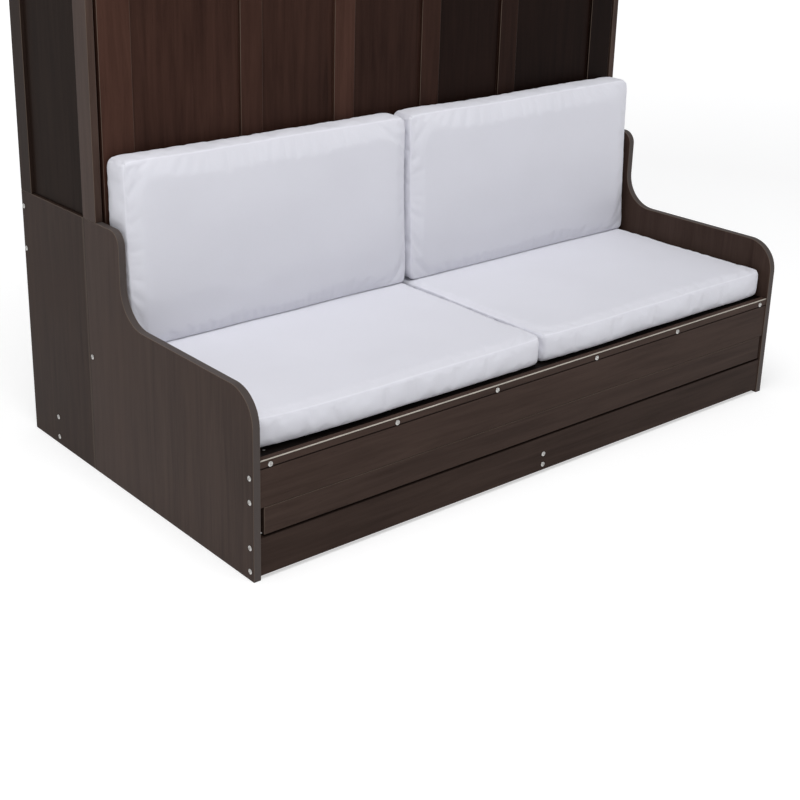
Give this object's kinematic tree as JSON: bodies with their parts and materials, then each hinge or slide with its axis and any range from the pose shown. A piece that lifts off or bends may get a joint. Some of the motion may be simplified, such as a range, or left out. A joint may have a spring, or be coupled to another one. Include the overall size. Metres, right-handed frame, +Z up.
{
  "type": "murphy wall bed",
  "caption": "Upright wall bed that folds down out of a panelled wooden cabinet over a two-seat sofa with S-curved arms and loose box cushions.",
  "frame": {"origin": "on the floor under the middle of the object's box", "axes": "+Z up, the sofa faces -Y, the wall is on +Y, X runs from arm to arm"},
  "size_m": [1.679, 0.957, 2.338],
  "materials": {
    "espresso_wood": "satin espresso paint over wood",
    "slat_wood": "planed pine",
    "cushion_cover": "smooth white polyester cover",
    "mattress_cover": "quilted mattress ticking",
    "webbing": "woven webbing",
    "bright_steel": "bright zinc plate",
    "zinc_steel": "zinc plated steel",
    "nylon_bush": "natural nylon"
  },
  "bodies": {
    "cabinet": {"arm_left": "espresso_wood", "arm_right": "espresso_wood", "side_panel_left": "espresso_wood", "side_panel_right": "espresso_wood", "front_stile_left": "espresso_wood", "front_stile_right": "espresso_wood", "rear_stile_left": "espresso_wood", "rear_stile_right": "espresso_wood", "side_inset_left": "espresso_wood", "side_inset_right": "espresso_wood", "side_top_rails": "espresso_wood", "cabinet_top": "espresso_wood", "rear_rail_top": "espresso_wood", "rear_rail_middle": "espresso_wood", "rear_rail_floor": "espresso_wood", "toe_board": "espresso_wood", "seat_infill": "espresso_wood", "seat_apron": "espresso_wood", "seat_nosing": "espresso_wood", "seat_rear_rail": "espresso_wood", "seat_deck": "espresso_wood", "centre_spine": "espresso_wood", "infill_cleats": "slat_wood", "seat_joists": "slat_wood", "seat_cushion_left": "cushion_cover", "seat_cushion_right": "cushion_cover", "side_bolts": "bright_steel", "front_bolts": "bright_steel", "deck_screws": "bright_steel", "cabinet_pivot_plates": "zinc_steel", "pivot_pins": "zinc_steel", "magnetic_catches": "zinc_steel"},
    "bed": {"face_stile_1": "espresso_wood", "face_stile_2": "espresso_wood", "face_stile_3": "espresso_wood", "face_stile_4": "espresso_wood", "face_stile_5": "espresso_wood", "face_stile_6": "espresso_wood", "face_inset_1": "espresso_wood", "face_inset_2": "espresso_wood", "face_inset_3": "espresso_wood", "face_inset_4": "espresso_wood", "face_inset_5": "espresso_wood", "face_lower_panel": "espresso_wood", "face_top_rail": "espresso_wood", "bed_side_rail_left": "espresso_wood", "bed_side_rail_right": "espresso_wood", "head_rail": "espresso_wood", "foot_rail": "espresso_wood", "bed_slats": "slat_wood", "bed_pivot_plates": "zinc_steel", "pivot_bushes": "nylon_bush", "leg_brackets": "zinc_steel", "pull_handles": "bright_steel", "mattress": "mattress_cover", "mattress_straps": "webbing"},
    "back_cushion_left": {"back_cushion_left": "cushion_cover"},
    "leg_left": {"leg_left": "espresso_wood"},
    "back_cushion_right": {"back_cushion_right": "cushion_cover"},
    "leg_right": {"leg_right": "espresso_wood"}
  },
  "joints": [
    {"name": "bed_fold", "type": "hinge", "parent": "cabinet", "child": "bed", "pos_m": [0, 0.1685, 0.49], "axis": [1, 0, 0], "range_deg": [0, 90]},
    {"name": "back_cushion_left_fold", "type": "hinge", "parent": "cabinet", "child": "back_cushion_left", "pos_m": [0, 0.0255, 0.3458], "axis": [1, 0, 0], "range_deg": [0, 90]},
    {"name": "back_cushion_right_fold", "type": "hinge", "parent": "cabinet", "child": "back_cushion_right", "pos_m": [0, 0.0255, 0.3458], "axis": [1, 0, 0], "range_deg": [0, 90]},
    {"name": "leg_left_fold", "type": "hinge", "parent": "bed", "child": "leg_left", "pos_m": [0, 0.0985, 2.22], "axis": [-1, 0, 0], "range_deg": [0, 90]},
    {"name": "leg_right_fold", "type": "hinge", "parent": "bed", "child": "leg_right", "pos_m": [0, 0.0985, 2.22], "axis": [-1, 0, 0], "range_deg": [0, 90]}
  ],
  "couplings": [
    {"joint": "back_cushion_left_fold", "follows": "bed_fold", "ratio": 1},
    {"joint": "back_cushion_right_fold", "follows": "bed_fold", "ratio": 1}
  ]
}
